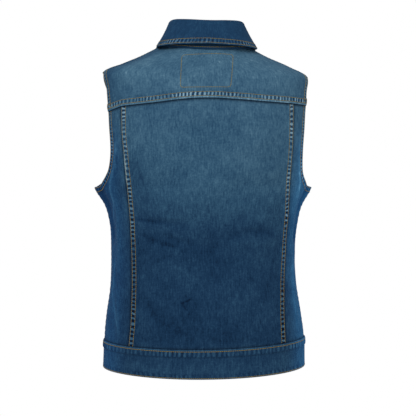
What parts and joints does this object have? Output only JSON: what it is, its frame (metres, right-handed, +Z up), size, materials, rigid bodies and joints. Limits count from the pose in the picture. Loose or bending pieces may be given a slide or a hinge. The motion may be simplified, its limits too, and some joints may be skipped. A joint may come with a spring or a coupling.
{
  "type": "sleeveless denim jacket, worn form",
  "caption": "Women's denim vest with a turn-down collar, back yoke, shaped back seams, buttoned front and waistband, hollow as when worn.",
  "frame": {"origin": "midway between the two points where the shoulder seams meet the collar, where the wearer's neck and shoulders hold the garment", "axes": "+Z up the wearer's back, +Y out of the back of the garment, +X to the wearer's left; the buttoned front faces -Y"},
  "size_m": [0.3789, 0.2371, 0.6022],
  "materials": {
    "denim": "washed indigo twill, faded on the upper back",
    "collar": "dark indigo twill",
    "buttons": "aged metal"
  },
  "bodies": {
    "root": {"back_yoke": "denim", "back_panel": "denim", "back_side_panel_left": "denim", "back_side_panel_right": "denim", "front_panel_left": "denim", "front_panel_right": "denim", "button_placket": "denim", "buttonhole_placket": "denim", "waistband": "denim", "collar": "collar", "button_1": "buttons", "button_2": "buttons", "button_3": "buttons", "button_4": "buttons", "button_5": "buttons", "waistband_button": "buttons"}
  },
  "joints": []
}
